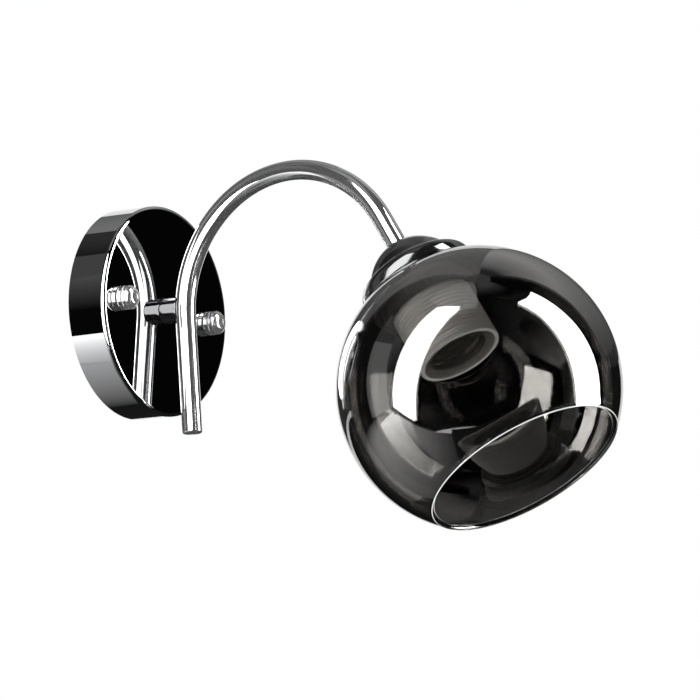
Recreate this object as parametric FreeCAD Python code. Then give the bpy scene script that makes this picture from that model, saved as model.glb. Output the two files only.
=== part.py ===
"""Globe wall sconce: a round pan on the wall, a bent tube arm and a smoked globe around an E27 lampholder.

Millimetres. The origin is the centre of the pan's mounting face on the wall. +X is to the right seen
from the room, +Z is up, and the lamp stands off the wall towards -Y.
"""
import FreeCAD, Part

import math
import os

from FreeCAD import Vector

# ---------- driving dimensions ----------
# pan on the wall
PLATE_R = 50.0
PLATE_DEPTH = 20.3
PLATE_SHEET = 1.0
PLATE_EDGE_R = 2.0
STUD_HOLE_R = 2.25

# bracket behind the pan
STRIP_HALF_LENGTH = 41.0
STRIP_HALF_HEIGHT = 11.0
STRIP_THICK = 1.5
STRIP_STEP = 4.0
STRIP_STEP_AT = 28.6
STRIP_STEP_RUN = 1.5
TAB_HALF_WIDTH = 17.0
TAB_TOP = 31.0
CABLE_HOLE_R = 5.0
WALL_SLOT_SPACING = 46.0
WALL_SLOT_WIDTH = 4.5
WALL_SLOT_LENGTH = 9.0
STUD_SLOT_WIDTH = 4.4
STUD_SLOT_HALF_ANGLE = 6.0

# studs, their lock nuts and the knurled cap nuts
STUD_SPACING = 70.0
STUD_LINE_TURN = -2.4
STUD_R = 2.0
STUD_HEAD_R = 3.5
STUD_HEAD_THICK = 2.4
STUD_END_ROOM = 0.5
LOCK_NUT_ACROSS = 7.0
LOCK_NUT_THICK = 3.2
CAP_NUT_R = 5.7
CAP_NUT_KNURL = 4.3
CAP_NUT_GROOVE_R = 5.1
CAP_NUT_GROOVE = 0.5
CAP_NUT_DOME = 2.4
CAP_NUT_DOME_FLAT_R = 1.6
CAP_NUT_BORE_DEPTH = 5.2
CAP_NUT_FOOT_GAP = 0.1
CAP_NUT_RIDGES = 36
CAP_NUT_RIDGE_DEPTH = 0.22

# boss between pan and arm
STUB_R = 6.25
STUB_LENGTH = 9.4
STUB_EDGE_R = 0.9
STUB_BORE_R = 2.75
SPIGOT_R = 4.0
SPIGOT_LENGTH = 7.4
WASHER_R = 8.0
WASHER_THICK = 0.8
WASHER_TEETH = 10
STUB_NUT_ACROSS = 13.0
STUB_NUT_THICK = 4.0

# arm tube
TUBE_R = 4.75
TUBE_WALL = 0.75
ARM_STANDOFF = 10.95
ARM_LEAN = 4.14
ARM_FOOT_DROP = 58.4
BEND_START_DROP = 4.4
BEND_R = 60.0
BEND_ANGLE = 152.1
ARM_NOSE = 16.2
PLUG_HEAD = 1.2
PLUG_EDGE_R = 0.8
PLUG_LENGTH = 7.0

# cup over the lampholder, along the lamp axis
CUP_TOP_R = 5.3
CUP_RIM_R = 21.5
CUP_HEIGHT = 15.0
CUP_SHEET = 0.9
CUP_BULGE = 2.7
CUP_BEAD_R = 0.55

# nipple and lock nut
NIPPLE_R = 3.95
NIPPLE_BORE_R = 2.6
NIPPLE_IN_TUBE = 8.0
CUP_NUT_ACROSS = 12.0
CUP_NUT_THICK = 2.8
CUP_WASHER_R = 5.0
CUP_WASHER_THICK = 0.9
CUP_WASHER_SPLIT = 0.8

# collar between cup and glass
COLLAR_R = 27.5
COLLAR_HEIGHT = 7.8
COLLAR_SHOULDER_IN = 4.4
COLLAR_SHOULDER_DROP = 4.6
COLLAR_LIP = 1.1
COLLAR_GLASS_GAP = 0.3
GASKET_THICK = 1.2
GASKET_IN_R = 21.6
GASKET_EDGE_ROOM = 1.0
GASKET_ROOM = 0.15

# glass
GLOBE_R = 65.0
GLASS_THICK = 2.5
GLASS_HOLE_R = 21.0
MOUTH_R = 45.8
MOUTH_EDGE_R = 1.1

# lampholder
HOLDER_R = 19.75
HOLDER_WALL = 1.9
HOLDER_LENGTH = 47.5
HOLDER_MOUTH_EDGE_R = 0.6
CAP_NECK_R = 8.0
CAP_NECK_LENGTH = 8.0
CAP_FLANGE_R = 18.4
CAP_FLANGE_THICK = 2.2
CAP_WALL = 1.9
CAP_SPIGOT_LENGTH = 8.0
INSULATOR_THICK = 7.0
SHELL_SEAT_DEPTH = 4.6
SHELL_BORE_R = 13.3
SHELL_SHEET = 0.4
SHELL_LENGTH = 26.0
SHELL_FLANGE_R = 15.6
WIRE_WELL_R = 2.2
WIRE_WELL_AT = 9.5
WIRE_WELL_FLOOR = 2.0
CONTACT_R = 4.0
CONTACT_DROP = 2.6
CONTACT_SHEET = 0.6

# ring that clamps the glass
RING_R = 26.5
RING_FLANGE = 2.4
RING_HUB_R = 23.2
RING_HEIGHT = 8.5
RING_GRIPS = 12
RING_GRIP_R = 1.7
RING_GLASS_GAP = 0.3

# supply connection in the pan
BLOCK_WIDTH = 30.0
BLOCK_HEIGHT = 15.0
BLOCK_DEPTH = 11.5
BLOCK_FOOT = 14.6
BLOCK_POLES = 3
BLOCK_WIRE_R = 1.6
BLOCK_SCREW_R = 1.5
BLOCK_SCREW_LENGTH = 4.0
BLOCK_SCREW_FROM_EDGE = 3.6
BLOCK_GROOVE = 1.2
BLOCK_GROOVE_DEPTH = 2.5
BLOCK_WIRE_ABOVE_FOOT = 4.8
SCREW_SUNK = 0.8
DRIVER_SLOT = 0.6
EARTH_AT = (12.5, -6.0)
EARTH_HEAD_R = 3.4
EARTH_HEAD_THICK = 2.2
EARTH_SHANK_R = 1.6
FLEX_R = 1.8
FLEX_TURN_R = 5.0
FLEX_END_GAP = 0.4

# clearances
RUN_CLEAR = 0.06
FIT_CLEAR = 0.10
BRAZE_GAP = 0.04

# ---------- places that follow from them ----------
ARM_Y = -(PLATE_DEPTH + ARM_STANDOFF)
LAMP_TILT = 180.0 - BEND_ANGLE + ARM_LEAN
NUT_BOTTOM = PLATE_DEPTH + CAP_NUT_FOOT_GAP
GLASS_IN_R = GLOBE_R - GLASS_THICK
GLOBE_CENTRE = -(CUP_HEIGHT + COLLAR_HEIGHT) - math.sqrt((GLOBE_R + COLLAR_GLASS_GAP) ** 2 - COLLAR_R ** 2)
GASKET_OUT_R = COLLAR_R - COLLAR_LIP - GASKET_EDGE_ROOM
HOLDER_TOP = -(CUP_HEIGHT + 0.5)
HOLDER_MOUTH = HOLDER_TOP - HOLDER_LENGTH
HOLDER_BORE_R = HOLDER_R - HOLDER_WALL
INSULATOR_TOP = HOLDER_TOP - CAP_SPIGOT_LENGTH
INSULATOR_FACE = INSULATOR_TOP - INSULATOR_THICK
SHELL_TOP = INSULATOR_FACE - SHELL_SEAT_DEPTH
CAP_TOP = -(CUP_SHEET + CUP_WASHER_THICK + CUP_NUT_THICK)
NIPPLE_END = CAP_TOP - CAP_NECK_LENGTH
NUT_ROOT_R = CAP_NUT_R - CAP_NUT_RIDGE_DEPTH
WIRE_LEVEL = STRIP_THICK + BLOCK_WIRE_ABOVE_FOOT


# ---------- helpers ----------
def arc(a, b, c):
    """Arc through three points."""
    return Part.Arc(a, b, c).toShape()


def line(a, b):
    return Part.makeLine(a, b)


def rz(r, z):
    """Point of a profile that is turned about the Z axis."""
    return Vector(r, 0, z)


def corner_arc(r, z, edge_r):
    """Three points of the quarter round at the top outer corner of a turned profile."""
    inset = edge_r * (1 - math.sqrt(0.5))
    return rz(r, z - edge_r), rz(r - inset, z - inset), rz(r - edge_r, z)


def turned(edges):
    """Solid of revolution about Z from a closed chain of profile edges."""
    face = Part.Face(Part.Wire(edges))
    return face.revolve(Vector(0, 0, 0), Vector(0, 0, 1), 360)


def turned_points(points):
    """Solid of revolution about Z from straight runs between (r, z) points."""
    corners = [rz(r, z) for r, z in points]
    return turned([line(a, b) for a, b in zip(corners, corners[1:] + corners[:1])])


def rod(r, z0, z1, x=0.0, y=0.0):
    low, high = min(z0, z1), max(z0, z1)
    return Part.makeCylinder(r, high - low, Vector(x, y, low))


def hexagon(across, z0, z1):
    """Hexagonal bar along Z, its size measured across the flats."""
    corner_r = across / math.sqrt(3)
    corners = [
        Vector(corner_r * math.cos(math.radians(60 * i)), corner_r * math.sin(math.radians(60 * i)), z0)
        for i in range(7)
    ]
    return Part.Face(Part.makePolygon(corners)).extrude(Vector(0, 0, z1 - z0))


def hex_nut(across, hole_r, z0, z1):
    """Hexagon nut with its corners turned down on both sides."""
    corner_r = across / math.sqrt(3)
    face_r = across / 2
    slope = (corner_r - face_r) * math.tan(math.radians(30))
    turned_blank = turned_points([
        (0, z0), (face_r, z0), (corner_r, z0 + slope), (corner_r, z1 - slope), (face_r, z1), (0, z1),
    ])
    return hexagon(across, z0, z1).common(turned_blank).cut(rod(hole_r, z0 - 1, z1 + 1))


def slot(length, width, z0, z1, x, y):
    """Straight slot along X, its length measured end to end."""
    r = width / 2
    reach = length / 2 - r
    box = Part.makeBox(2 * reach, width, z1 - z0, Vector(x - reach, y - r, z0))
    return box.fuse([rod(r, z0, z1, x - reach, y), rod(r, z0, z1, x + reach, y)]).removeSplitter()


def from_wall(shape):
    """Turn a shape built with Y up and Z out of the wall into the part's frame."""
    return shape.rotated(Vector(0, 0, 0), Vector(1, 0, 0), 90)


def stud_place(side):
    """Place of a stud in the wall's plane: -1 is the left one, 1 the right one."""
    turn = math.radians(STUD_LINE_TURN)
    reach = side * STUD_SPACING / 2
    return reach * math.cos(turn), reach * math.sin(turn)


def on_arm(y, z):
    """Point of the arm's plane, turned by the arm's lean about the boss."""
    lean = math.radians(ARM_LEAN)
    dy = y - ARM_Y
    out = ARM_Y + dy * math.cos(lean) + z * math.sin(lean)
    return Vector(0, out, -dy * math.sin(lean) + z * math.cos(lean))


def bend_point(angle):
    """Point of the tube's axis, by its angle along the bend."""
    a = math.radians(angle)
    return on_arm(ARM_Y - BEND_R + BEND_R * math.cos(a), -BEND_START_DROP + BEND_R * math.sin(a))


def arm_end():
    a = math.radians(BEND_ANGLE)
    end = bend_point(BEND_ANGLE)
    ahead = on_arm(ARM_Y - math.sin(a), math.cos(a)) - on_arm(ARM_Y, 0)
    return end + ahead * ARM_NOSE


def on_lamp(shape):
    """Carry a shape from the lamp's own frame, with +Z back along the arm, to the end of the arm."""
    tilted = shape.rotated(Vector(0, 0, 0), Vector(1, 0, 0), -LAMP_TILT)
    return tilted.translated(arm_end())


def export(name, shape):
    shape.exportStep("parts/" + name + ".step")


# ---------- pan ----------
def back_plate():
    """Spun pan with a rounded front edge, its sheet the same thickness all round."""
    front, back = PLATE_DEPTH, PLATE_DEPTH - PLATE_SHEET
    wall_r = PLATE_R - PLATE_SHEET
    outside = corner_arc(PLATE_R, front, PLATE_EDGE_R)
    inside = corner_arc(wall_r, back, PLATE_EDGE_R - PLATE_SHEET)
    pan = turned([
        line(rz(wall_r, 0), rz(PLATE_R, 0)),
        line(rz(PLATE_R, 0), outside[0]),
        arc(*outside),
        line(outside[2], rz(0, front)),
        line(rz(0, front), rz(0, back)),
        line(rz(0, back), inside[2]),
        arc(*inside),
        line(inside[0], rz(wall_r, 0)),
    ])
    pan = pan.cut(rod(SPIGOT_R + FIT_CLEAR, 0, PLATE_DEPTH + 1))
    for side in (-1, 1):
        x, y = stud_place(side)
        pan = pan.cut(rod(STUD_HOLE_R, 0, PLATE_DEPTH + 1, x, y))
    return from_wall(pan)


# ---------- bracket ----------
def stud_slot():
    """Curved slot about the bracket's centre, on the right side."""
    r = STUD_SLOT_WIDTH / 2
    mid = STUD_SPACING / 2
    low, high = -1.0, STRIP_STEP + STRIP_THICK + 1
    band = turned_points([(mid - r, low), (mid + r, low), (mid + r, high), (mid - r, high)])
    a = math.radians(STUD_SLOT_HALF_ANGLE)
    far = 2 * mid
    corners = [Vector(0, 0, low), Vector(far * math.cos(a), -far * math.sin(a), low),
               Vector(far * math.cos(a), far * math.sin(a), low), Vector(0, 0, low)]
    wedge = Part.Face(Part.makePolygon(corners)).extrude(Vector(0, 0, high - low))
    ends = [rod(r, low, high, mid * math.cos(a), s * mid * math.sin(a)) for s in (-1, 1)]
    return band.common(wedge).fuse(ends)


def strip_profile(side):
    """Half of the strip's bent section, from the middle to one end."""
    t, up = STRIP_THICK, STRIP_STEP
    step, run, end = STRIP_STEP_AT, STRIP_STEP_RUN, STRIP_HALF_LENGTH
    points = [(0, 0), (step, 0), (step + run, up), (end, up), (end, up + t),
              (step + run - t / 2, up + t), (step - t / 2, t), (0, t)]
    corners = [Vector(side * x, -STRIP_HALF_HEIGHT, z) for x, z in points]
    corners.append(corners[0])
    face = Part.Face(Part.makePolygon(corners))
    return face.extrude(Vector(0, 2 * STRIP_HALF_HEIGHT, 0))


def wall_bracket():
    tab = Part.makeBox(2 * TAB_HALF_WIDTH, TAB_TOP, STRIP_THICK, Vector(-TAB_HALF_WIDTH, 0, 0))
    tab_corners = [e for e in tab.Edges if len(e.Vertexes) == 2
                   and all(v.Y > TAB_TOP - 0.01 for v in e.Vertexes)
                   and abs(e.Vertexes[0].X - e.Vertexes[1].X) < 0.01]
    tab = tab.makeFillet(4.0, tab_corners)
    bracket = strip_profile(-1).fuse([strip_profile(1), tab]).removeSplitter()
    bracket = bracket.cut(rod(CABLE_HOLE_R, -1, STRIP_THICK + 1))
    for side in (-1, 1):
        x = side * WALL_SLOT_SPACING / 2
        bracket = bracket.cut(slot(WALL_SLOT_LENGTH, WALL_SLOT_WIDTH, -1, STRIP_THICK + 1, x, 0))
    right = stud_slot()
    left = right.rotated(Vector(0, 0, 0), Vector(0, 0, 1), 180)
    bracket = bracket.cut(right).cut(left)
    bracket = bracket.cut(rod(EARTH_SHANK_R + FIT_CLEAR, -1, STRIP_THICK + 1, *EARTH_AT))
    return from_wall(bracket)


def stud(side):
    """Screw with its head behind the bracket and its shank through the pan."""
    x, y = stud_place(side)
    end = NUT_BOTTOM + CAP_NUT_BORE_DEPTH - STUD_END_ROOM
    chamfer = STUD_R * 0.2
    shank = turned_points([(0, STRIP_STEP), (STUD_R, STRIP_STEP), (STUD_R, end - chamfer),
                           (STUD_R - chamfer, end), (0, end)])
    head = rod(STUD_HEAD_R, STRIP_STEP - STUD_HEAD_THICK, STRIP_STEP)
    head = head.makeFillet(0.6, [e for e in head.Edges if e.BoundBox.ZMax < STRIP_STEP - 0.5])
    return from_wall(head.fuse(shank).removeSplitter().translated(Vector(x, y, 0)))


def stud_lock_nuts():
    low = STRIP_STEP + STRIP_THICK
    nuts = []
    for side in (-1, 1):
        x, y = stud_place(side)
        nut = hex_nut(LOCK_NUT_ACROSS, STUD_R + RUN_CLEAR, low, low + LOCK_NUT_THICK)
        nuts.append(from_wall(nut.translated(Vector(x, y, 0))))
    return Part.makeCompound(nuts)


# ---------- knurled cap nut ----------
def cap_nut(side):
    """Finger nut: straight knurl from the pan, a turned groove and a polished dome."""
    x, y = stud_place(side)
    foot = NUT_BOTTOM
    knurl_top = foot + CAP_NUT_KNURL
    groove_top = knurl_top + CAP_NUT_GROOVE
    dome_top = groove_top + CAP_NUT_DOME
    rim_r = CAP_NUT_R - 0.15
    dome_mid = rz(CAP_NUT_DOME_FLAT_R + (rim_r - CAP_NUT_DOME_FLAT_R) * 0.76,
                  groove_top + CAP_NUT_DOME * 0.66)
    blank = turned([
        line(rz(0, foot), rz(CAP_NUT_R - 0.4, foot)),
        line(rz(CAP_NUT_R - 0.4, foot), rz(CAP_NUT_R, foot + 0.4)),
        line(rz(CAP_NUT_R, foot + 0.4), rz(CAP_NUT_R, knurl_top)),
        line(rz(CAP_NUT_R, knurl_top), rz(CAP_NUT_GROOVE_R, knurl_top)),
        line(rz(CAP_NUT_GROOVE_R, knurl_top), rz(CAP_NUT_GROOVE_R, groove_top)),
        line(rz(CAP_NUT_GROOVE_R, groove_top), rz(rim_r, groove_top)),
        arc(rz(rim_r, groove_top), dome_mid, rz(CAP_NUT_DOME_FLAT_R, dome_top)),
        line(rz(CAP_NUT_DOME_FLAT_R, dome_top), rz(0, dome_top)),
        line(rz(0, dome_top), rz(0, foot)),
    ])
    cuts = []
    for i in range(CAP_NUT_RIDGES):
        a = 2 * math.pi * i / CAP_NUT_RIDGES
        half = math.pi / CAP_NUT_RIDGES * 0.55
        tip_r = CAP_NUT_R + 0.2
        corners = [(NUT_ROOT_R, a), (tip_r, a + half), (tip_r, a - half), (NUT_ROOT_R, a)]
        ring = [Vector(r * math.cos(t), r * math.sin(t), foot - 0.1) for r, t in corners]
        cuts.append(Part.Face(Part.makePolygon(ring)).extrude(Vector(0, 0, CAP_NUT_KNURL + 0.1)))
    nut = blank.cut(Part.makeCompound(cuts))
    nut = nut.cut(rod(STUD_R + RUN_CLEAR, foot - 1, foot + CAP_NUT_BORE_DEPTH))
    return from_wall(nut.translated(Vector(x, y, 0)))


# ---------- boss ----------
def arm_axis_wire(start_drop):
    """Axis of the tube, from a drop below the boss to its end."""
    foot, bend = on_arm(ARM_Y, -start_drop), bend_point(0)
    middle, bend_end = bend_point(BEND_ANGLE / 2), bend_point(BEND_ANGLE)
    return Part.Wire([line(foot, bend), arc(bend, middle, bend_end), line(bend_end, arm_end())])


def arm_solid(r, start_drop=ARM_FOOT_DROP):
    foot = on_arm(ARM_Y, -start_drop)
    ahead = on_arm(ARM_Y, 1) - on_arm(ARM_Y, 0)
    ring = Part.Wire([Part.makeCircle(r, foot, ahead)])
    return arm_axis_wire(start_drop).makePipeShell([ring], True, True)


def arm_stub():
    front = PLATE_DEPTH + STUB_LENGTH
    body = rod(STUB_R, PLATE_DEPTH, front)
    front_edge = [e for e in body.Edges if e.BoundBox.ZMin > front - 0.01]
    body = body.makeFillet(STUB_EDGE_R, front_edge)
    spigot = rod(SPIGOT_R, PLATE_DEPTH - SPIGOT_LENGTH, PLATE_DEPTH)
    stub = body.fuse(spigot).removeSplitter()
    stub = stub.cut(rod(STUB_BORE_R, PLATE_DEPTH - SPIGOT_LENGTH - 1, front + 1))
    return from_wall(stub).cut(arm_solid(TUBE_R + BRAZE_GAP))


def stub_washer():
    """Toothed washer behind the pan."""
    top = PLATE_DEPTH - PLATE_SHEET
    washer = rod(WASHER_R, top - WASHER_THICK, top).cut(rod(SPIGOT_R + FIT_CLEAR, 0, PLATE_DEPTH))
    for i in range(WASHER_TEETH):
        a = 2 * math.pi * i / WASHER_TEETH
        washer = washer.cut(rod(0.9, 0, PLATE_DEPTH, WASHER_R * math.cos(a), WASHER_R * math.sin(a)))
    return from_wall(washer)


def stub_nut():
    top = PLATE_DEPTH - PLATE_SHEET - WASHER_THICK
    return from_wall(hex_nut(STUB_NUT_ACROSS, SPIGOT_R + RUN_CLEAR, top - STUB_NUT_THICK, top))


# ---------- arm ----------
def arm_tube():
    """Bent tube with a side hole where the flex comes in from the boss."""
    tube = arm_solid(TUBE_R).cut(arm_solid(TUBE_R - TUBE_WALL))
    side_hole = from_wall(rod(STUB_BORE_R, PLATE_DEPTH, PLATE_DEPTH + ARM_STANDOFF))
    return tube.cut(side_hole)


def arm_end_plug():
    """Rounded plug pressed into the foot of the tube."""
    edge = corner_arc(TUBE_R, PLUG_HEAD, PLUG_EDGE_R)
    spigot_r = TUBE_R - TUBE_WALL - FIT_CLEAR
    plug = turned([
        line(rz(0, PLUG_HEAD), edge[2]),
        arc(*edge),
        line(edge[0], rz(TUBE_R, 0)),
        line(rz(TUBE_R, 0), rz(spigot_r, 0)),
        line(rz(spigot_r, 0), rz(spigot_r, -PLUG_LENGTH)),
        line(rz(spigot_r, -PLUG_LENGTH), rz(0, -PLUG_LENGTH)),
        line(rz(0, -PLUG_LENGTH), rz(0, PLUG_HEAD)),
    ])
    head_down = plug.rotated(Vector(0, 0, 0), Vector(1, 0, 0), 180 - ARM_LEAN)
    return head_down.translated(on_arm(ARM_Y, -ARM_FOOT_DROP))


# ---------- cup, nipple and lock nut ----------
def cup_curve(r_top, r_rim, z_top, z_rim):
    """Domed profile from the flat top to the rim, bulged out from the straight chord."""
    dr, dz = r_rim - r_top, z_rim - z_top
    chord = math.hypot(dr, dz)
    mid_r = (r_top + r_rim) / 2 - dz / chord * CUP_BULGE
    mid_z = (z_top + z_rim) / 2 + dr / chord * CUP_BULGE
    return arc(rz(r_top, z_top), rz(mid_r, mid_z), rz(r_rim, z_rim))


def lamp_cup():
    """Spun cup with a flat land for the tube and a rolled bead at its rim."""
    t, rim_z = CUP_SHEET, -CUP_HEIGHT
    cup = turned([
        line(rz(NIPPLE_R + FIT_CLEAR, 0), rz(CUP_TOP_R, 0)),
        cup_curve(CUP_TOP_R, CUP_RIM_R, 0, rim_z),
        line(rz(CUP_RIM_R, rim_z), rz(CUP_RIM_R - t, rim_z)),
        cup_curve(CUP_TOP_R - t / 3, CUP_RIM_R - t, -t, rim_z),
        line(rz(CUP_TOP_R - t / 3, -t), rz(NIPPLE_R + FIT_CLEAR, -t)),
        line(rz(NIPPLE_R + FIT_CLEAR, -t), rz(NIPPLE_R + FIT_CLEAR, 0)),
    ])
    bead = Part.makeTorus(CUP_RIM_R, CUP_BEAD_R, Vector(0, 0, rim_z + CUP_BEAD_R))
    hollow = rod(CUP_RIM_R - t, rim_z - 1, rim_z + 2 * CUP_BEAD_R)
    return on_lamp(cup.fuse(bead.cut(hollow)).removeSplitter())


def cup_nipple():
    bore = rod(NIPPLE_BORE_R, NIPPLE_END - 1, NIPPLE_IN_TUBE + 1)
    return on_lamp(rod(NIPPLE_R, NIPPLE_END, NIPPLE_IN_TUBE).cut(bore))


def cup_washer():
    """Split spring washer between the cup's land and the lock nut."""
    low, high = -(CUP_SHEET + CUP_WASHER_THICK), -CUP_SHEET
    washer = rod(CUP_WASHER_R, low, high).cut(rod(NIPPLE_R + FIT_CLEAR, low - 1, high + 1))
    gap = Part.makeBox(CUP_WASHER_SPLIT, CUP_WASHER_R + 1, CUP_WASHER_THICK,
                       Vector(-CUP_WASHER_SPLIT / 2, 0, low))
    return on_lamp(washer.cut(gap))


def cup_lock_nut():
    top = CAP_TOP + CUP_NUT_THICK
    return on_lamp(hex_nut(CUP_NUT_ACROSS, NIPPLE_R + RUN_CLEAR, CAP_TOP, top))


# ---------- collar and gasket ----------
def sphere_band(r_in, r_out, hole_r, outer_r):
    """Part of a spherical shell about the globe's centre, between two radii from the lamp axis."""
    centre = Vector(0, 0, GLOBE_CENTRE)
    shell = Part.makeSphere(r_out, centre).cut(Part.makeSphere(r_in, centre))
    return shell.common(rod(outer_r, GLOBE_CENTRE, 0).cut(rod(hole_r, GLOBE_CENTRE, 0)))


def shade_collar():
    """Spun collar: flat top under the cup, rounded shoulder, lip down to the glass."""
    top, low = -CUP_HEIGHT, -(CUP_HEIGHT + COLLAR_HEIGHT)
    flat_r = COLLAR_R - COLLAR_SHOULDER_IN
    shoulder_z = top - COLLAR_SHOULDER_DROP
    hole_r = HOLDER_R + 2 * FIT_CLEAR
    shoulder_mid = rz(flat_r + COLLAR_SHOULDER_IN * math.sqrt(0.5),
                      shoulder_z + COLLAR_SHOULDER_DROP * math.sqrt(0.5))
    blank = turned([
        line(rz(hole_r, top), rz(flat_r, top)),
        arc(rz(flat_r, top), shoulder_mid, rz(COLLAR_R, shoulder_z)),
        line(rz(COLLAR_R, shoulder_z), rz(COLLAR_R, low)),
        line(rz(COLLAR_R, low), rz(hole_r, low)),
        line(rz(hole_r, low), rz(hole_r, top)),
    ])
    centre = Vector(0, 0, GLOBE_CENTRE)
    collar = blank.cut(Part.makeSphere(GLOBE_R + COLLAR_GLASS_GAP, centre))
    seat = Part.makeSphere(GLOBE_R + GASKET_THICK + GASKET_ROOM, centre)
    return on_lamp(collar.cut(seat.common(rod(COLLAR_R - COLLAR_LIP, GLOBE_CENTRE, 0))))


def shade_gasket():
    return on_lamp(sphere_band(GLOBE_R + 0.05, GLOBE_R + GASKET_THICK, GASKET_IN_R, GASKET_OUT_R))


# ---------- glass ----------
def glass_globe():
    """Blown globe with a hole for the lampholder and a wide mouth with a fire-polished edge."""
    centre = Vector(0, 0, GLOBE_CENTRE)
    mid_r = GLOBE_R - GLASS_THICK / 2
    bead_z = -math.sqrt(mid_r ** 2 - MOUTH_R ** 2)
    ball = Part.makeSphere(GLOBE_R, centre).cut(Part.makeSphere(GLASS_IN_R, centre))
    mouth_z = GLOBE_CENTRE + bead_z
    ball = ball.cut(rod(GLOBE_R, GLOBE_CENTRE - 2 * GLOBE_R, mouth_z))
    ball = ball.cut(rod(GLASS_HOLE_R, GLOBE_CENTRE, 0))
    bead = Part.makeTorus(MOUTH_R, MOUTH_EDGE_R, Vector(0, 0, mouth_z))
    return on_lamp(ball.fuse(bead).removeSplitter())


# ---------- lampholder ----------
def lampholder_cap():
    """Cap with a threaded neck on the nipple and a spigot that screws into the sleeve."""
    neck_low = CAP_TOP - 1.6
    flange_top = HOLDER_TOP + CAP_FLANGE_THICK
    spigot_r = HOLDER_BORE_R - FIT_CLEAR
    bore_r = spigot_r - CAP_WALL
    spigot_low = HOLDER_TOP - CAP_SPIGOT_LENGTH
    neck_bore = NIPPLE_R + RUN_CLEAR
    outer_mid = rz(CAP_NECK_R + (CAP_FLANGE_R - CAP_NECK_R) * 0.62,
                   neck_low + (flange_top - neck_low) * 0.38)
    cap = turned([
        line(rz(neck_bore, CAP_TOP), rz(CAP_NECK_R, CAP_TOP)),
        line(rz(CAP_NECK_R, CAP_TOP), rz(CAP_NECK_R, neck_low)),
        arc(rz(CAP_NECK_R, neck_low), outer_mid, rz(CAP_FLANGE_R, flange_top)),
        line(rz(CAP_FLANGE_R, flange_top), rz(CAP_FLANGE_R, HOLDER_TOP)),
        line(rz(CAP_FLANGE_R, HOLDER_TOP), rz(spigot_r, HOLDER_TOP)),
        line(rz(spigot_r, HOLDER_TOP), rz(spigot_r, spigot_low)),
        line(rz(spigot_r, spigot_low), rz(bore_r, spigot_low)),
        line(rz(bore_r, spigot_low), rz(bore_r, HOLDER_TOP)),
        line(rz(bore_r, HOLDER_TOP), rz(CAP_NECK_R - 1, NIPPLE_END + 1.5)),
        line(rz(CAP_NECK_R - 1, NIPPLE_END + 1.5), rz(CAP_NECK_R - 1, NIPPLE_END)),
        line(rz(CAP_NECK_R - 1, NIPPLE_END), rz(neck_bore, NIPPLE_END)),
        line(rz(neck_bore, NIPPLE_END), rz(neck_bore, CAP_TOP)),
    ])
    return on_lamp(cap)


def lampholder_skirt():
    """Moulded sleeve round the shell, its mouth edge rounded."""
    sleeve = rod(HOLDER_R, HOLDER_MOUTH, HOLDER_TOP)
    mouth_edge = [e for e in sleeve.Edges if e.BoundBox.ZMax < HOLDER_MOUTH + 0.01]
    sleeve = sleeve.makeFillet(HOLDER_MOUTH_EDGE_R, mouth_edge)
    # the fine outer thread is left off; HOLDER_R is its crest
    return on_lamp(sleeve.cut(rod(HOLDER_BORE_R, HOLDER_MOUTH - 1, HOLDER_TOP + 1)))


def lampholder_insulator():
    """Moulded disc with a rim that seats the shell, a boss for the centre contact and two wire wells."""
    disc = rod(HOLDER_BORE_R - FIT_CLEAR, SHELL_TOP, INSULATOR_TOP)
    disc = disc.cut(rod(SHELL_BORE_R + SHELL_SHEET, SHELL_TOP - 1, INSULATOR_FACE))
    boss = rod(CONTACT_R + 1.5, INSULATOR_FACE - CONTACT_DROP, INSULATOR_FACE)
    floor = INSULATOR_FACE + WIRE_WELL_FLOOR
    wells = [rod(WIRE_WELL_R, floor, INSULATOR_TOP + 1, x, 0) for x in (-WIRE_WELL_AT, WIRE_WELL_AT)]
    return on_lamp(disc.fuse(boss).removeSplitter().cut(Part.makeCompound(wells)))


def screw_shell():
    """Drawn brass shell with a flange under the insulator."""
    low = SHELL_TOP - SHELL_LENGTH
    outer_r = SHELL_BORE_R + SHELL_SHEET
    return on_lamp(turned_points([
        (SHELL_BORE_R, low), (outer_r, low), (outer_r, SHELL_TOP - SHELL_SHEET),
        (SHELL_FLANGE_R, SHELL_TOP - SHELL_SHEET), (SHELL_FLANGE_R, SHELL_TOP), (SHELL_BORE_R, SHELL_TOP),
    ]))


def centre_contact():
    """Sprung disc on the insulator's boss."""
    top = INSULATOR_FACE - CONTACT_DROP
    disc = turned_points([(0, top), (CONTACT_R, top), (CONTACT_R, top - CONTACT_SHEET),
                          (2.2, top - CONTACT_SHEET), (1.6, top - CONTACT_SHEET - 0.9),
                          (0, top - CONTACT_SHEET - 0.9)])
    return on_lamp(disc)


def shade_ring():
    """Ring nut with a flange under the glass and grip notches round its hub."""
    top = GLOBE_CENTRE + math.sqrt((GLASS_IN_R - RING_GLASS_GAP) ** 2 - RING_R ** 2)
    low = top - RING_HEIGHT
    bore_r = HOLDER_R + RUN_CLEAR
    ring = turned_points([
        (bore_r, top), (RING_R - 0.6, top), (RING_R, top - 0.6), (RING_R, top - RING_FLANGE),
        (RING_HUB_R, top - RING_FLANGE), (RING_HUB_R, low + 0.6), (RING_HUB_R - 0.6, low), (bore_r, low),
    ])
    notches = []
    for i in range(RING_GRIPS):
        a = 2 * math.pi * i / RING_GRIPS
        reach = RING_HUB_R + RING_GRIP_R * 0.35
        x, y = reach * math.cos(a), reach * math.sin(a)
        notches.append(rod(RING_GRIP_R, low - 1, top - RING_FLANGE, x, y))
    return on_lamp(ring.cut(Part.makeCompound(notches)))


# ---------- supply connection ----------
def block_columns():
    pitch = BLOCK_WIDTH / BLOCK_POLES
    return [pitch * (i - (BLOCK_POLES - 1) / 2) for i in range(BLOCK_POLES)]


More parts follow.
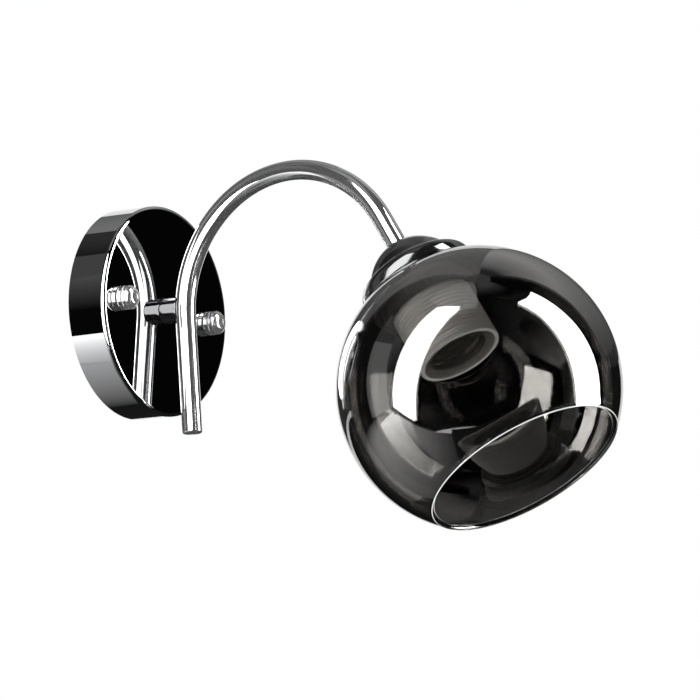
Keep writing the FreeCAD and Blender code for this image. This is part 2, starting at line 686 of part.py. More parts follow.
def block_screw_rows():
    return [BLOCK_FOOT + BLOCK_SCREW_FROM_EDGE, BLOCK_FOOT + BLOCK_HEIGHT - BLOCK_SCREW_FROM_EDGE]


def terminal_block():
    """Three-pole block on the bracket's tab, with wire holes, screw wells and grooves between poles."""
    base, top = STRIP_THICK, STRIP_THICK + BLOCK_DEPTH
    block = Part.makeBox(BLOCK_WIDTH, BLOCK_HEIGHT, BLOCK_DEPTH, Vector(-BLOCK_WIDTH / 2, BLOCK_FOOT, base))
    under, through = BLOCK_FOOT - 1, BLOCK_HEIGHT + 2
    cuts = []
    for x in block_columns():
        start = Vector(x, under, WIRE_LEVEL)
        cuts.append(Part.makeCylinder(BLOCK_WIRE_R, through, start, Vector(0, 1, 0)))
        for y in block_screw_rows():
            cuts.append(rod(BLOCK_SCREW_R + RUN_CLEAR, WIRE_LEVEL, top + 1, x, y))
    for i in range(1, BLOCK_POLES):
        x = BLOCK_WIDTH * (i / BLOCK_POLES - 0.5) - BLOCK_GROOVE / 2
        cuts.append(Part.makeBox(BLOCK_GROOVE, through, BLOCK_GROOVE_DEPTH + 1,
                                 Vector(x, under, top - BLOCK_GROOVE_DEPTH)))
    return from_wall(block.cut(Part.makeCompound(cuts)))


def terminal_screws():
    """Clamping screws in the block's wells, each with a driver slot."""
    high = STRIP_THICK + BLOCK_DEPTH - SCREW_SUNK
    screws = []
    for x in block_columns():
        for y in block_screw_rows():
            screw = rod(BLOCK_SCREW_R, high - BLOCK_SCREW_LENGTH, high, x, y)
            driver = Part.makeBox(2 * BLOCK_SCREW_R, DRIVER_SLOT, 1,
                                  Vector(x - BLOCK_SCREW_R, y - DRIVER_SLOT / 2, high - DRIVER_SLOT))
            screws.append(from_wall(screw.cut(driver)))
    return Part.makeCompound(screws)


def earth_screw():
    """Pan head screw in the bracket for the earth lead."""
    head = rod(EARTH_HEAD_R, STRIP_THICK, STRIP_THICK + EARTH_HEAD_THICK)
    head = head.makeFillet(0.9, [e for e in head.Edges if e.BoundBox.ZMin > STRIP_THICK + 1])
    shank = rod(EARTH_SHANK_R, 0.2, STRIP_THICK)
    top = STRIP_THICK + EARTH_HEAD_THICK
    driver = Part.makeBox(2 * EARTH_HEAD_R, DRIVER_SLOT, 2, Vector(-EARTH_HEAD_R, -DRIVER_SLOT / 2, top - 1))
    screw = head.fuse(shank).removeSplitter().cut(driver)
    return from_wall(screw.translated(Vector(EARTH_AT[0], EARTH_AT[1], 0)))


def lamp_flex():
    """Round flex: down the lamp axis, round the arm, through the boss and up to the block."""
    lamp_end = on_lamp(Part.Vertex(0, 0, INSULATOR_TOP + FLEX_END_GAP)).Point
    turn = FLEX_TURN_R
    leave = math.degrees(math.asin((turn + BEND_START_DROP) / BEND_R))
    start = bend_point(leave)
    along = bend_point(leave) - bend_point(leave + 0.01)
    along.normalize()
    corner_y = start.y + along.y / along.z * (0 - start.z)
    corner = Vector(0, corner_y, 0)
    in_corner = start.distanceToPoint(corner)
    out_corner = Vector(0, corner_y + in_corner, 0)
    to_mid = (start - corner).normalize() + Vector(0, 1, 0)
    to_mid.normalize()
    half = math.acos((start - corner).normalize().dot(Vector(0, 1, 0))) / 2
    bow_r = in_corner * math.tan(half)
    bow = corner + to_mid * (bow_r / math.sin(half) - bow_r)
    tail_y = -WIRE_LEVEL
    tail_in = Vector(0, tail_y - turn, 0)
    tail_out = Vector(0, tail_y, turn)
    tail_bow = Vector(0, tail_y - turn + turn * math.sqrt(0.5), turn - turn * math.sqrt(0.5))
    tail_end = Vector(0, tail_y, BLOCK_FOOT - FLEX_END_GAP)
    half_way = bend_point((leave + BEND_ANGLE) / 2)
    route = Part.Wire([
        line(lamp_end, bend_point(BEND_ANGLE)),
        arc(bend_point(BEND_ANGLE), half_way, start),
        arc(start, bow, out_corner),
        line(out_corner, tail_in),
        arc(tail_in, tail_bow, tail_out),
        line(tail_out, tail_end),
    ])
    ahead = (bend_point(BEND_ANGLE) - lamp_end).normalize()
    ring = Part.Wire([Part.makeCircle(FLEX_R, lamp_end, ahead)])
    return route.makePipeShell([ring], True, True)


os.makedirs("parts", exist_ok=True)
export("back_plate", back_plate())
export("wall_bracket", wall_bracket())
export("stud_left", stud(-1))
export("stud_right", stud(1))
export("stud_lock_nuts", stud_lock_nuts())
export("cap_nut_left", cap_nut(-1))
export("cap_nut_right", cap_nut(1))
export("arm_stub", arm_stub())
export("stub_washer", stub_washer())
export("stub_nut", stub_nut())
export("arm_tube", arm_tube())
export("arm_end_plug", arm_end_plug())
export("lamp_cup", lamp_cup())
export("cup_nipple", cup_nipple())
export("cup_washer", cup_washer())
export("cup_lock_nut", cup_lock_nut())
export("shade_collar", shade_collar())
export("shade_gasket", shade_gasket())
export("glass_globe", glass_globe())
export("lampholder_cap", lampholder_cap())
export("lampholder_skirt", lampholder_skirt())
export("lampholder_insulator", lampholder_insulator())
export("screw_shell", screw_shell())
export("centre_contact", centre_contact())
export("shade_ring", shade_ring())
export("terminal_block", terminal_block())
export("terminal_screws", terminal_screws())
export("earth_screw", earth_screw())
export("lamp_flex", lamp_flex())
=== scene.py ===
"""Globe wall sconce, dressed: polished plating, smoked glass and the moulded lampholder inside it.

Metres, in the part's frame: the wall is the plane y = 0, the lamp stands off it towards -y and +z is up.
"""

import math

import bmesh
import bpy
from mathutils import Matrix, Vector


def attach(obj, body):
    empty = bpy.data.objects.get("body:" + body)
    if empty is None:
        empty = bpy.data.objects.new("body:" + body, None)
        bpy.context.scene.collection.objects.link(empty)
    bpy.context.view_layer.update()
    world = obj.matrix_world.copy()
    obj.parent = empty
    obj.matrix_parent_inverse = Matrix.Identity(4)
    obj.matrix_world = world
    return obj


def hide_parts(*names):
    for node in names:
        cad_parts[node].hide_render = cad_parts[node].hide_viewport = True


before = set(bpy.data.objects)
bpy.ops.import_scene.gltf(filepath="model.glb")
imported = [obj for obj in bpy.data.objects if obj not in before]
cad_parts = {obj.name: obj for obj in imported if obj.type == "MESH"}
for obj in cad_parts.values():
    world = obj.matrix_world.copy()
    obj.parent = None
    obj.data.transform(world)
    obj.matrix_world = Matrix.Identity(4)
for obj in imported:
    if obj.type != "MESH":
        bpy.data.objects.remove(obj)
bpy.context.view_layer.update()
MM = 0.001
TINY = 0.02 * MM  # the first and last ring of a turned solid, drawn together into a point later

# ---------- sizes, as in the part ----------
PAN_R, PAN_DEPTH, PAN_SHEET, PAN_EDGE = 50 * MM, 20.3 * MM, 1 * MM, 2 * MM
STUD_REACH, STUD_TURN = 35 * MM, math.radians(-2.4)
NUT_FOOT = PAN_DEPTH + 0.1 * MM
TUBE_R, TUBE_WALL = 4.75 * MM, 0.75 * MM
ARM_Y = -31.25 * MM
ARM_LEAN = math.radians(4.14)
ARM_FOOT, BEND_START = -58.4 * MM, -4.4 * MM
BEND_R, BEND_ANGLE, ARM_NOSE = 60 * MM, math.radians(152.1), 16.2 * MM
GLOBE_R, GLASS_THICK = 65 * MM, 2.5 * MM
GLOBE_CENTRE_Z = -82.027 * MM
GLASS_HOLE_R, MOUTH_R = 21 * MM, 45.8 * MM
HOLDER_R, HOLDER_BORE_R = 19.75 * MM, 17.85 * MM
HOLDER_TOP, HOLDER_MOUTH = -15.5 * MM, -63 * MM


def on_arm(y, z):
    """A point of the arm's plane, leant about the boss as the arm is."""
    out = y - ARM_Y
    return Vector((0, ARM_Y + out * math.cos(ARM_LEAN) + z * math.sin(ARM_LEAN),
                   -out * math.sin(ARM_LEAN) + z * math.cos(ARM_LEAN)))


def bend_spot(turn):
    """A point of the bend's centre line, by how far the tube has turned there."""
    return on_arm(ARM_Y - BEND_R + BEND_R * math.cos(turn), BEND_START + BEND_R * math.sin(turn))


ARM_AHEAD = on_arm(ARM_Y - math.sin(BEND_ANGLE), math.cos(BEND_ANGLE)) - on_arm(ARM_Y, 0)
ARM_END = bend_spot(BEND_ANGLE) + ARM_AHEAD * ARM_NOSE
LAMP_TILT = math.pi - BEND_ANGLE + ARM_LEAN
LAMP = Matrix.Translation(ARM_END) @ Matrix.Rotation(-LAMP_TILT, 4, "X")
OUT_OF_WALL = Matrix.Rotation(math.radians(90), 4, "X")
GLOBE_PLACE = LAMP @ Vector((0, 0, GLOBE_CENTRE_Z))

# ---------- camera ----------
LOOK_AZIMUTH, LOOK_UP, LOOK_ROLL = math.radians(-56.49), math.radians(8.75), math.radians(-0.17)
AIM, AIM_RIGHT, AIM_DOWN = Vector((0, -0.09, 0)), 0.0286, 0.0244
STAND_BACK, SEE_FAR = 2.4, 20
FOCUS_PIXELS, PICTURE_PIXELS, SENSOR = 5164.58, 700, 36


def photograph_camera():
    """The camera at the photograph's viewing angle."""
    right = Vector((math.cos(LOOK_AZIMUTH), math.sin(LOOK_AZIMUTH), 0))
    back = Vector((math.sin(LOOK_AZIMUTH) * math.cos(LOOK_UP), -math.cos(LOOK_AZIMUTH) * math.cos(LOOK_UP),
                   -math.sin(LOOK_UP)))
    up = back.cross(right)
    across = right * math.cos(LOOK_ROLL) + up * math.sin(LOOK_ROLL)
    upright = up * math.cos(LOOK_ROLL) - right * math.sin(LOOK_ROLL)
    data = bpy.data.cameras.new("camera")
    data.lens = FOCUS_PIXELS / PICTURE_PIXELS * SENSOR
    data.sensor_width = SENSOR
    data.clip_end = SEE_FAR
    camera = bpy.data.objects.new("camera", data)
    camera.matrix_world = Matrix((across, upright, back)).transposed().to_4x4()
    camera.location = AIM + across * AIM_RIGHT - upright * AIM_DOWN + back * STAND_BACK
    bpy.context.scene.collection.objects.link(camera)
    bpy.context.scene.camera = camera


photograph_camera()

# ---------- modelling ----------
SAME_SPOT = 1e-6
NEAR_WALL = 0.05 * MM


def nothing_selected():
    if bpy.context.object and bpy.context.object.mode != "OBJECT":
        bpy.ops.object.mode_set(mode="OBJECT")
    bpy.ops.object.select_all(action="DESELECT")


def take_up(piece):
    """Select this piece alone and make it the one that is worked on."""
    nothing_selected()
    piece.select_set(True)
    bpy.context.view_layer.objects.active = piece


def named(name):
    piece = bpy.context.active_object
    piece.name = piece.data.name = name
    return piece


def open_edit(piece, mode="VERT"):
    take_up(piece)
    bpy.ops.object.mode_set(mode="EDIT")
    bpy.ops.mesh.select_mode(type=mode)
    bpy.ops.mesh.select_all(action="DESELECT")


def close_edit():
    bpy.ops.object.mode_set(mode="OBJECT")


def pick(piece, kind, test):
    """Select the vertices, edges or faces that pass a test, by their place or normal."""
    mesh = bmesh.from_edit_mesh(piece.data)
    for part in getattr(mesh, kind):
        part.select_set(bool(test(part)))
    mesh.select_flush_mode()
    bmesh.update_edit_mesh(piece.data)


def put(piece, place):
    """Move a piece to its place and leave that place in its mesh."""
    take_up(piece)
    piece.matrix_world = place @ piece.matrix_world
    bpy.ops.object.transform_apply(location=True, rotation=True, scale=True)


def smooth(piece, degrees=35):
    """Shade a piece smooth, with a crisp edge wherever it turns by more than this."""
    take_up(piece)
    bpy.ops.object.shade_smooth_by_angle(angle=math.radians(degrees))
    return piece


def apply_modifier(piece, kind, **settings):
    take_up(piece)
    modifier = piece.modifiers.new(kind.lower(), kind)
    for key, value in settings.items():
        setattr(modifier, key, value)
    bpy.ops.object.modifier_apply(modifier=modifier.name)


def arc_rings(centre, radius, start, stop, steps):
    """Rings (radius, height) of a rounded corner, by angle in degrees from straight outwards."""
    cr, cz = centre
    turn = [math.radians(start + (stop - start) * i / steps) for i in range(steps + 1)]
    return [(cr + radius * math.cos(a), cz + radius * math.sin(a)) for a in turn]


def three_point_rings(a, b, c, steps):
    """Rings on the circle through three (radius, height) points, from the first to the last.

    They take the arc that keeps off the circle's side towards the axis, which may miss the middle point.
    """
    (ax, ay), (bx, by), (cx, cy) = a, b, c
    d = 2 * (ax * (by - cy) + bx * (cy - ay) + cx * (ay - by))
    square_a, square_b, square_c = ax**2 + ay**2, bx**2 + by**2, cx**2 + cy**2
    ux = (square_a * (by - cy) + square_b * (cy - ay) + square_c * (ay - by)) / d
    uy = (square_a * (cx - bx) + square_b * (ax - cx) + square_c * (bx - ax)) / d
    start = math.degrees(math.atan2(ay - uy, ax - ux))
    stop = math.degrees(math.atan2(cy - uy, cx - ux))
    return arc_rings((ux, uy), math.hypot(ax - ux, ay - uy), start, stop, steps)


def spun(name, rings, place, sides=128):
    """A turned piece: a circle that is pulled along its profile ring by ring, then put in its place."""
    nothing_selected()
    r, z = rings[0]
    bpy.ops.mesh.primitive_circle_add(vertices=sides, radius=r, location=(0, 0, z))
    piece = named(name)
    bpy.ops.object.transform_apply(location=True)
    open_edit(piece, "EDGE")
    bpy.ops.mesh.select_all(action="SELECT")
    for (r0, z0), (r1, z1) in zip(rings, rings[1:]):
        bpy.ops.mesh.extrude_edges_move(TRANSFORM_OT_translate={"value": (0, 0, z1 - z0)})
        bpy.ops.transform.resize(value=(r1 / r0, r1 / r0, 1), center_override=(0, 0, z1))
    bpy.ops.mesh.select_all(action="SELECT")
    bpy.ops.mesh.remove_doubles(threshold=SAME_SPOT)
    bpy.ops.mesh.select_all(action="SELECT")
    bpy.ops.mesh.normals_make_consistent(inside=False)
    close_edit()
    put(piece, place)
    return piece


def close_pole(piece, height):
    """Draw the tiny ring about the axis at this height together into one point."""
    open_edit(piece)
    pick(piece, "verts", lambda v: math.hypot(v.co.x, v.co.y) < 2 * TINY and abs(v.co.z - height) < TINY)
    bpy.ops.mesh.merge(type="CENTER")
    close_edit()


def turned_solid(name, rings, place, sides=96):
    """A turned piece whose profile starts and ends on its axis."""
    piece = spun(name, rings, Matrix(), sides)
    close_pole(piece, rings[0][1])
    close_pole(piece, rings[-1][1])
    put(piece, place)
    return piece


def roll_thread(piece, place, crest, depth, pitch, low, high):
    """Press a round thread into the wall that has the crest's radius, running out at both ends."""
    back = place.inverted()
    for vertex in piece.data.vertices:
        spot = back @ vertex.co
        r = math.hypot(spot.x, spot.y)
        if abs(r - crest) < NEAR_WALL and low < spot.z < high:
            turn = spot.z / pitch + math.atan2(spot.y, spot.x) / (2 * math.pi)
            run_out = min(1, (spot.z - low) / pitch, (high - spot.z) / pitch)
            press = depth * run_out * (0.5 - 0.5 * math.cos(2 * math.pi * turn))
            spot.x, spot.y = spot.x * (r - press) / r, spot.y * (r - press) / r
            vertex.co = place @ spot


def finish_of(piece, material, body, *stands_for):
    piece.data.materials.clear()
    piece.data.materials.append(material)
    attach(piece, body)
    if stands_for:
        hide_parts(*stands_for)


# ---------- finishes ----------
NOISE_LOW, NOISE_HIGH = 0.3, 0.7  # nearly all of a noise lies between these
CLEAREST = 0.4  # the share of its haze that the clearest spot of a plating keeps


def blank_finish(name):
    material = bpy.data.materials.new(name)
    material.use_nodes = True
    tree = material.node_tree
    tree.nodes.clear()
    output = tree.nodes.new("ShaderNodeOutputMaterial")
    shader = tree.nodes.new("ShaderNodeBsdfPrincipled")
    tree.links.new(shader.outputs[0], output.inputs[0])
    place = tree.nodes.new("ShaderNodeTexCoord")
    return material, tree, shader, place.outputs["Object"]


def noise(tree, where, scale, detail):
    node = tree.nodes.new("ShaderNodeTexNoise")
    node.inputs["Scale"].default_value = scale
    node.inputs["Detail"].default_value = detail
    tree.links.new(where, node.inputs["Vector"])
    return node.outputs["Fac"]


def spread(tree, value, low, high, from_low=NOISE_LOW, from_high=NOISE_HIGH):
    """Turn a value's own range into the range from low to high."""
    node = tree.nodes.new("ShaderNodeMapRange")
    node.inputs["From Min"].default_value = from_low
    node.inputs["From Max"].default_value = from_high
    node.inputs["To Min"].default_value = low
    node.inputs["To Max"].default_value = high
    tree.links.new(value, node.inputs["Value"])
    return node.outputs["Result"]


def ripple(tree, shader, height, depth):
    node = tree.nodes.new("ShaderNodeBump")
    node.inputs["Distance"].default_value = depth
    node.inputs["Strength"].default_value = 1.0
    tree.links.new(height, node.inputs["Height"])
    tree.links.new(node.outputs["Normal"], shader.inputs["Normal"])


def drifting_tone(tree, shader, value, tint, darkest):
    """Base colour that drifts between the tint and a darker shade of it."""
    mix = tree.nodes.new("ShaderNodeMix")
    mix.data_type = "RGBA"
    tree.links.new(spread(tree, value, 0, 1), mix.inputs["Factor"])
    mix.inputs["A"].default_value = (*[c * darkest for c in tint], 1)
    mix.inputs["B"].default_value = (*tint, 1)
    tree.links.new(mix.outputs["Result"], shader.inputs["Base Color"])


def polished_plating(name, tint, haze, wave, metal=1.0):
    """Plated mirror with a faint haze that drifts across it and the slight wave of the metal under it."""
    material, tree, shader, where = blank_finish(name)
    shader.inputs["Metallic"].default_value = metal
    shader.inputs["Base Color"].default_value = (*tint, 1)
    drift = noise(tree, where, scale=60, detail=4)
    tree.links.new(spread(tree, drift, haze * CLEAREST, haze), shader.inputs["Roughness"])
    ripple(tree, shader, noise(tree, where, scale=90, detail=1), wave)
    return material


def smoked_glass():
    """Smoked glass with a thin mirror coat, and the faint wave of blown glass."""
    material, tree, shader, where = blank_finish("smoked_glass")
    shader.inputs["Base Color"].default_value = (0.66, 0.652, 0.64, 1)
    shader.inputs["Metallic"].default_value = 0.30
    shader.inputs["Transmission Weight"].default_value = 1.0
    shader.inputs["IOR"].default_value = 1.5
    drift = noise(tree, where, scale=45, detail=3)
    tree.links.new(spread(tree, drift, low=0.0, high=0.012), shader.inputs["Roughness"])
    ripple(tree, shader, noise(tree, where, scale=28, detail=1), depth=0.00004)
    return material


def moulding(name, tint, low, high):
    """Moulded plastic or rubber, and the painted white of the glass lip: a fine grain, and a tone that
    drifts a little.
    """
    material, tree, shader, where = blank_finish(name)
    drifting_tone(tree, shader, noise(tree, where, scale=140, detail=3), tint, darkest=0.92)
    gloss = noise(tree, where, scale=900, detail=2)
    tree.links.new(spread(tree, gloss, low, high), shader.inputs["Roughness"])
    ripple(tree, shader, noise(tree, where, scale=2500, detail=2), depth=0.00003)
    return material


def plain_metal(name, tint, low, high):
    """Bare metal as it comes from the tool, a little dull and uneven."""
    material, tree, shader, where = blank_finish(name)
    shader.inputs["Metallic"].default_value = 1.0
    drifting_tone(tree, shader, noise(tree, where, scale=220, detail=4), tint, darkest=0.85)
    gloss = noise(tree, where, scale=400, detail=3)
    tree.links.new(spread(tree, gloss, low, high), shader.inputs["Roughness"])
    ripple(tree, shader, noise(tree, where, scale=1500, detail=2), depth=0.00001)
    return material


PAN_PLATING = polished_plating("pan_plating", (0.60, 0.605, 0.615), haze=0.012, wave=0.000004)
TUBE_PLATING = polished_plating("tube_plating", (0.66, 0.662, 0.668), haze=0.09, wave=0.000004, metal=0.88)
# the boss, cup and collar are chrome; this plating's base colour is painted dark, a painted reflection of
# the dark room they mirror
SPUN_PLATING_PAINTED_DARK = polished_plating("spun_plating_painted_dark", (0.17, 0.171, 0.173), haze=0.16, wave=0.000004, metal=0.94)
NUT_PLATING = polished_plating("nut_plating", (0.64, 0.64, 0.64), haze=0.2, wave=0.00001, metal=0.85)
GLASS = smoked_glass()
HOLDER_PLASTIC = moulding("lampholder_plastic", (0.74, 0.715, 0.68), low=0.35, high=0.5)
DARK_PLASTIC = moulding("dark_plastic", (0.05, 0.045, 0.04), low=0.4, high=0.6)
CERAMIC = moulding("ceramic", (0.55, 0.53, 0.50), low=0.3, high=0.45)
NYLON = moulding("nylon", (0.82, 0.82, 0.79), low=0.35, high=0.5)
SILICONE = moulding("silicone", (0.10, 0.10, 0.10), low=0.3, high=0.45)
SHEATH = moulding("flex_sheath", (0.78, 0.78, 0.76), low=0.4, high=0.55)
SHELL_METAL = plain_metal("shell_metal", (0.52, 0.49, 0.45), low=0.5, high=0.6)
# the globe's lip is clear glass; this plain white stands in for the backdrop light seen through it: painted
# light
LIP_PAINTED_WHITE = moulding("lip_painted_light", (0.8, 0.8, 0.8), low=0.12, high=0.2)
BRASS = plain_metal("brass", (0.78, 0.58, 0.27), low=0.18, high=0.35)
ZINC = plain_metal("zinc_steel", (0.62, 0.63, 0.64), low=0.25, high=0.45)

# ---------- pan ----------
PAN_HOLD = 0.3 * MM  # rings this near the rounded edge keep it crisp
edge_centre = (PAN_R - PAN_EDGE, PAN_DEPTH - PAN_EDGE)
pan_inside = arc_rings(edge_centre, PAN_EDGE - PAN_SHEET, 90, 0, 5)
pan_outside = arc_rings(edge_centre, PAN_EDGE, 0, 90, 10)
pan = turned_solid("pan", [(TINY, PAN_DEPTH - PAN_SHEET)] + pan_inside
                   + [(PAN_R - PAN_SHEET, 0.0), (PAN_R, 0.0), (PAN_R, PAN_HOLD),
                      (PAN_R, PAN_DEPTH - PAN_EDGE - PAN_HOLD)]
                   + pan_outside + [(PAN_R - PAN_EDGE - PAN_HOLD, PAN_DEPTH), (TINY, PAN_DEPTH)],
                   OUT_OF_WALL, sides=192)
finish_of(smooth(pan), PAN_PLATING, "fixture", "back_plate")

# ---------- knurled cap nuts ----------
NUT_R, NUT_VALLEY, NUT_GROOVE, NUT_BORE = 5.7 * MM, 5.42 * MM, 5.1 * MM, 2.06 * MM
NUT_CORNER = NUT_R - 0.05 * MM
KNURL_TEETH = 54
KNURL_STEP = 0.3 * MM
# radius, and height over the nut's foot in mm
NUT_BOTTOM = [(TINY, 5.2), (NUT_BORE, 5.2), (NUT_BORE, 0), (NUT_R - 0.4 * MM, 0), (NUT_CORNER, 0.35)]
NUT_MIDDLE = [(NUT_CORNER, 2.45), (NUT_GROOVE, 2.55), (NUT_GROOVE, 2.95), (NUT_CORNER, 3.05)]
NUT_NECK = [(NUT_CORNER, 4.5), (NUT_GROOVE, 4.58), (NUT_GROOVE, 4.8)]
NUT_DOME = [(5.55 * MM, 4.85), (4.6 * MM, 6.35), (1.6 * MM, 7.2)]
NUT_TIP = [(TINY, 7.2)]
LOWER_BAND, LOWER_ROWS = 0.5 * MM, 7
UPPER_BAND, UPPER_ROWS = 3.2 * MM, 5


def over_foot(rings):
    return [(r, NUT_FOOT + height * MM) for r, height in rings]


def knurl_rows(low, rows):
    return [(NUT_R, low + i * KNURL_STEP) for i in range(rows)]


def knurled_nut(name, side):
    """Finger nut: two knurled bands with turned grooves between them, and a polished dome."""
    lower = knurl_rows(NUT_FOOT + LOWER_BAND, LOWER_ROWS)
    upper = knurl_rows(NUT_FOOT + UPPER_BAND, UPPER_ROWS)
    dome = three_point_rings(*over_foot(NUT_DOME), 14)
    rings = (over_foot(NUT_BOTTOM) + lower + over_foot(NUT_MIDDLE) + upper + over_foot(NUT_NECK)
             + dome + over_foot(NUT_TIP))
    nut = turned_solid(name, rings, Matrix(), 2 * KNURL_TEETH)
    rows = {round(z / MM, 3): i for i, (r, z) in enumerate(lower + upper)}
    for vertex in nut.data.vertices:
        r = math.hypot(vertex.co.x, vertex.co.y)
        row = rows.get(round(vertex.co.z / MM, 3))
        if row is not None and r > NUT_GROOVE:
            tooth = round(math.atan2(vertex.co.y, vertex.co.x) / (math.pi / KNURL_TEETH))
            if (tooth + row) % 2:
                vertex.co.x *= NUT_VALLEY / r
                vertex.co.y *= NUT_VALLEY / r
    reach = side * STUD_REACH
    stud = Matrix.Translation((reach * math.cos(STUD_TURN), reach * math.sin(STUD_TURN), 0))
    put(nut, OUT_OF_WALL @ stud)
    finish_of(smooth(nut, 22), NUT_PLATING, name, name)


knurled_nut("cap_nut_left", -1)
knurled_nut("cap_nut_right", 1)

# ---------- boss ----------
BOSS_R, BOSS_FRONT, BOSS_BORE = 6.25 * MM, 29.7 * MM, 2.75 * MM
SPIGOT_R, SPIGOT_LOW = 4 * MM, 12.9 * MM
BOSS_FOOT_EDGE, BOSS_FRONT_EDGE = 0.45 * MM, 0.9 * MM
BOSS_WALL_LOW, BOSS_WALL_HIGH = PAN_DEPTH + 2 * MM, BOSS_FRONT - 1.2 * MM
SADDLE_GAP, CUTTER_LONG = 0.04 * MM, 40 * MM
boss = spun("boss", [(SPIGOT_R, SPIGOT_LOW), (SPIGOT_R, PAN_DEPTH)]
            + arc_rings((BOSS_R - BOSS_FOOT_EDGE, PAN_DEPTH + BOSS_FOOT_EDGE), BOSS_FOOT_EDGE, -90, 0, 6)
            + [(BOSS_R, BOSS_WALL_LOW), (BOSS_R, BOSS_WALL_HIGH)]
            + arc_rings((BOSS_R - BOSS_FRONT_EDGE, BOSS_FRONT - BOSS_FRONT_EDGE), BOSS_FRONT_EDGE, 0, 90, 8)
            + [(BOSS_BORE, BOSS_FRONT), (BOSS_BORE, SPIGOT_LOW), (SPIGOT_R, SPIGOT_LOW)], OUT_OF_WALL, 96)
nothing_selected()
bpy.ops.mesh.primitive_cylinder_add(vertices=96, radius=TUBE_R + SADDLE_GAP, depth=CUTTER_LONG,
                                    location=on_arm(ARM_Y, 0), rotation=(-ARM_LEAN, 0, 0))
saddle_cutter = named("saddle_cutter")
apply_modifier(boss, "BOOLEAN", operation="DIFFERENCE", object=saddle_cutter, solver="EXACT")
bpy.data.objects.remove(saddle_cutter)
finish_of(smooth(boss, 30), SPUN_PLATING_PAINTED_DARK, "fixture", "arm_stub")

# ---------- arm ----------
TUBE_SIDES, BEND_STEPS = 64, 120


def bent_tube():
    """The tube drawn as by hand: a ring at its foot, pulled straight, spun round the bend and pulled on."""
    nothing_selected()
    foot = on_arm(ARM_Y, ARM_FOOT)
    bpy.ops.mesh.primitive_circle_add(vertices=TUBE_SIDES, radius=TUBE_R, location=foot,
                                      rotation=(-ARM_LEAN, 0, 0))
    tube = named("tube")
    bpy.ops.object.transform_apply(location=True, rotation=True)
    open_edit(tube, "EDGE")
    bpy.ops.mesh.select_all(action="SELECT")
    rise = on_arm(ARM_Y, BEND_START) - foot
    bpy.ops.mesh.extrude_edges_move(TRANSFORM_OT_translate={"value": rise})
    centre = on_arm(ARM_Y - BEND_R, BEND_START)
    bpy.ops.mesh.spin(steps=BEND_STEPS, angle=-BEND_ANGLE, center=centre, axis=(1, 0, 0))
    bpy.ops.mesh.extrude_edges_move(TRANSFORM_OT_translate={"value": ARM_AHEAD * ARM_NOSE})
    bpy.ops.mesh.select_all(action="SELECT")
    bpy.ops.mesh.normals_make_consistent(inside=False)
    close_edit()
    apply_modifier(tube, "SOLIDIFY", thickness=TUBE_WALL, offset=-1)
    return tube


finish_of(smooth(bent_tube()), TUBE_PLATING, "fixture", "arm_tube")

PLUG_HEAD, PLUG_EDGE, PLUG_CHAMFER = 1.2 * MM, 0.8 * MM, 0.12 * MM
PLUG_TAIL_R, PLUG_TAIL = 3.9 * MM, -7 * MM
PLUG_PLACE = Matrix.Translation(on_arm(ARM_Y, ARM_FOOT)) @ Matrix.Rotation(math.pi - ARM_LEAN, 4, "X")
plug = turned_solid("tube_end", [(TINY, PLUG_HEAD), (TUBE_R - PLUG_EDGE, PLUG_HEAD)]
                    + arc_rings((TUBE_R - PLUG_EDGE, PLUG_HEAD - PLUG_EDGE), PLUG_EDGE, 90, 0, 8)
                    + [(TUBE_R, PLUG_CHAMFER), (TUBE_R - PLUG_CHAMFER, 0.0),
                       (PLUG_TAIL_R, 0.0), (PLUG_TAIL_R, PLUG_TAIL), (TINY, PLUG_TAIL)], PLUG_PLACE, 64)
finish_of(smooth(plug), TUBE_PLATING, "fixture", "arm_end_plug")

# ---------- cup and collar ----------
CUP_H, CUP_RIM, CUP_TOP, CUP_SHEET, CUP_BULGE = 15 * MM, 21.5 * MM, 5.3 * MM, 0.9 * MM, 2.7 * MM
CUP_HOLE_R, BEAD_R = 4.1 * MM, 0.55 * MM


def cup_arc(r_top, r_rim, z_top, z_rim, steps):
    chord = math.hypot(r_rim - r_top, z_rim - z_top)
    middle = ((r_top + r_rim) / 2 + (z_top - z_rim) / chord * CUP_BULGE,
              (z_top + z_rim) / 2 + (r_rim - r_top) / chord * CUP_BULGE)
    return three_point_rings((r_top, z_top), middle, (r_rim, z_rim), steps)


outside = cup_arc(CUP_TOP, CUP_RIM, 0, -CUP_H, 32)[:-3]  # the last three give way to the bead
bead = arc_rings((CUP_RIM, -CUP_H + BEAD_R), BEAD_R, 75, -90, 10)
under = cup_arc(CUP_TOP, CUP_RIM - CUP_SHEET, -CUP_SHEET, -CUP_H, 20)[::-1]
cup = spun("cup", [(CUP_HOLE_R, 0.0)] + outside + bead + under
           + [(CUP_HOLE_R, -CUP_SHEET), (CUP_HOLE_R, 0.0)], LAMP)
finish_of(smooth(cup, 40), SPUN_PLATING_PAINTED_DARK, "fixture", "lamp_cup")

COLLAR_R, COLLAR_BORE_R, COLLAR_EDGE = 27.5 * MM, 19.95 * MM, 0.4 * MM
COLLAR_FLAT, COLLAR_DROP = 23.1 * MM, 4.6 * MM
SEAT_BALL_R = 65.3 * MM


def on_seat(r):
    """Height of the collar's hollow seat over the globe, at this radius from the lamp's axis."""
    return GLOBE_CENTRE_Z + math.sqrt(SEAT_BALL_R**2 - r**2)


